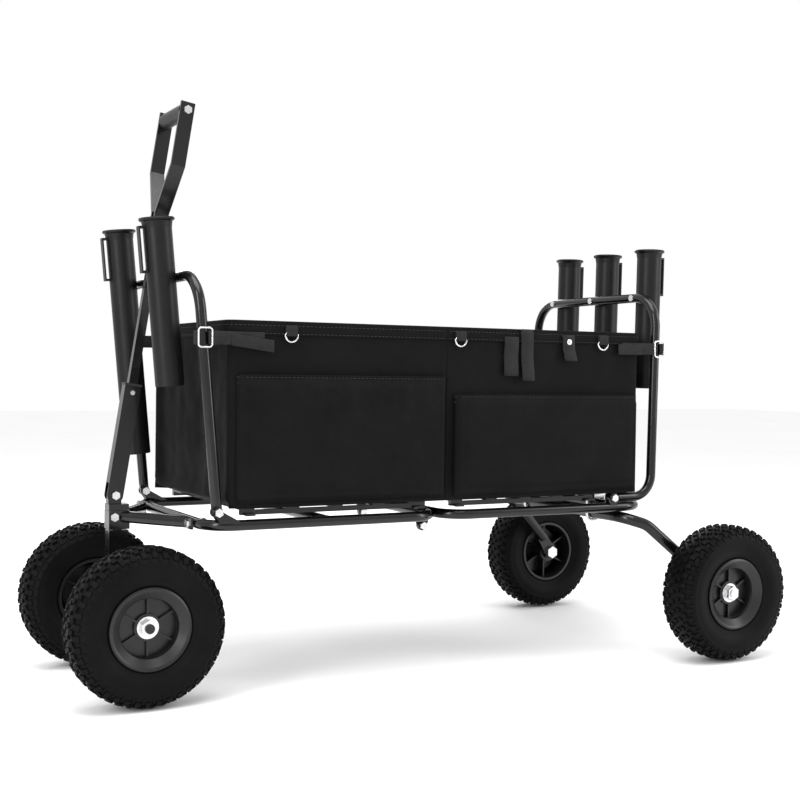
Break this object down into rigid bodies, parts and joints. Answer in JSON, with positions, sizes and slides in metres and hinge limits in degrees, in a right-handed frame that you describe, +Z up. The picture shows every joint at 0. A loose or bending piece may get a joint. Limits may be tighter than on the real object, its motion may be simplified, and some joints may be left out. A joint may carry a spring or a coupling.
{
  "type": "folding beach cart",
  "caption": "Folding beach cart: fabric basket on a hinged tube base between end hoops, fat pneumatic wheels on a steered front axle, pull handle and fishing rod holders.",
  "frame": {"origin": "on the ground, midway between the front and rear axles, in the middle of the width", "axes": "+X along the length towards the rear wheels (the pull handle is at -X), +Y across to the far side, +Z up"},
  "size_m": [1.358, 0.7044, 1.0016],
  "materials": {
    "powder_coat": "gloss",
    "inner_tube": "gloss",
    "zinc": "satin",
    "bearing_steel": "satin",
    "holder_plastic": "satin",
    "rim_plastic": "satin",
    "grip_plastic": "matt",
    "guide_plastic": "matt",
    "tyre_rubber": "matt",
    "floor_board": "matt",
    "liner_fabric": "woven",
    "pocket_fabric": "woven",
    "webbing": "woven"
  },
  "bodies": {
    "front_frame": {"base_front_loop": "powder_coat", "front_floor_frame": "powder_coat", "floor_board_front": "floor_board", "steering_neck": "powder_coat", "neck_bolts": "zinc", "hinge_bolts": "zinc", "front_hoop_bolts": "zinc", "basket_front": "liner_fabric", "pocket_front_near": "pocket_fabric", "pocket_front_far": "pocket_fabric", "front_straps": "webbing", "front_strap_rings": "zinc", "front_d_rings": "zinc"},
    "rear_frame": {"base_rear_loop": "powder_coat", "rear_floor_frame": "powder_coat", "floor_board_rear": "floor_board", "rear_axle_tube": "powder_coat", "rear_axle_clamps": "zinc", "rear_wheel_bolts": "zinc", "rear_hoop_bolts": "zinc", "basket_rear": "liner_fabric", "pocket_rear_near": "pocket_fabric", "pocket_rear_far": "pocket_fabric", "rear_straps": "webbing", "rear_strap_rings": "zinc", "rear_d_rings": "zinc"},
    "steering": {"steering_post": "powder_coat", "front_axle": "powder_coat", "front_axle_nuts": "zinc", "handle_lug": "powder_coat"},
    "handle_lower": {"handle_shaft": "powder_coat", "handle_pivot_bolt": "zinc", "handle_guide": "guide_plastic", "handle_lock_button": "zinc"},
    "handle_upper": {"handle_inner_tube": "inner_tube", "handle_bar_near": "powder_coat", "handle_bar_far": "powder_coat", "handle_grip": "grip_plastic", "handle_bolts": "zinc"},
    "front_hoop_body": {"front_hoop": "powder_coat", "rod_holder_front_near": "holder_plastic", "rod_holder_front_far": "holder_plastic", "front_holder_rivets": "zinc"},
    "rear_hoop_body": {"rear_hoop": "powder_coat", "rod_holder_rear_near": "holder_plastic", "rod_holder_rear_middle": "holder_plastic", "rod_holder_rear_far": "holder_plastic", "rear_holder_rivets": "zinc"},
    "wheel_front_near": {"tyre_front_near": "tyre_rubber", "rim_front_near": "rim_plastic", "bearings_front_near": "bearing_steel"},
    "wheel_front_far": {"tyre_front_far": "tyre_rubber", "rim_front_far": "rim_plastic", "bearings_front_far": "bearing_steel"},
    "wheel_rear_near": {"tyre_rear_near": "tyre_rubber", "rim_rear_near": "rim_plastic", "bearings_rear_near": "bearing_steel"},
    "wheel_rear_far": {"tyre_rear_far": "tyre_rubber", "rim_rear_far": "rim_plastic", "bearings_rear_far": "bearing_steel"}
  },
  "joints": [
    {"name": "base_fold", "type": "hinge", "parent": "front_frame", "child": "rear_frame", "pos_m": [-0.015, 0, 0.262], "axis": [0, 1, 0], "range_deg": [0, 130], "deforming": ["basket_front", "basket_rear", "pocket_front_near", "pocket_front_far", "pocket_rear_near", "pocket_rear_far", "front_straps", "rear_straps", "front_strap_rings", "rear_strap_rings", "front_d_rings", "rear_d_rings"]},
    {"name": "front_hoop_fold", "type": "hinge", "parent": "front_frame", "child": "front_hoop_body", "pos_m": [-0.441, 0, 0.312], "axis": [0, 1, 0], "range_deg": [0, 65]},
    {"name": "rear_hoop_fold", "type": "hinge", "parent": "rear_frame", "child": "rear_hoop_body", "pos_m": [0.36, 0, 0.3073], "axis": [0, 1, 0], "range_deg": [-65, 0]},
    {"name": "steering_swivel", "type": "hinge", "parent": "front_frame", "child": "steering", "pos_m": [-0.549, 0, 0.284], "axis": [0, 0, 1], "range_deg": [-75, 75]},
    {"name": "handle_pitch", "type": "hinge", "parent": "steering", "child": "handle_lower", "pos_m": [-0.555, 0, 0.326], "axis": [0, -1, 0], "range_deg": [0, 100]},
    {"name": "handle_extend", "type": "slide", "parent": "handle_lower", "child": "handle_upper", "axis": [0.1564, 0, 0.9877], "range_m": [-0.055, 0]},
    {"name": "spin_front_near", "type": "hinge", "parent": "steering", "child": "wheel_front_near", "pos_m": [-0.549, -0.168, 0.13], "axis": [0, 1, 0], "continuous": true},
    {"name": "spin_front_far", "type": "hinge", "parent": "steering", "child": "wheel_front_far", "pos_m": [-0.549, 0.168, 0.13], "axis": [0, 1, 0], "continuous": true},
    {"name": "spin_rear_near", "type": "hinge", "parent": "rear_frame", "child": "wheel_rear_near", "pos_m": [0.549, -0.31, 0.13], "axis": [0, 1, 0], "continuous": true},
    {"name": "spin_rear_far", "type": "hinge", "parent": "rear_frame", "child": "wheel_rear_far", "pos_m": [0.549, 0.31, 0.13], "axis": [0, 1, 0], "continuous": true}
  ],
  "couplings": [
    {"joint": "front_hoop_fold", "follows": "base_fold", "ratio": 0.5},
    {"joint": "rear_hoop_fold", "follows": "base_fold", "ratio": -0.5}
  ]
}
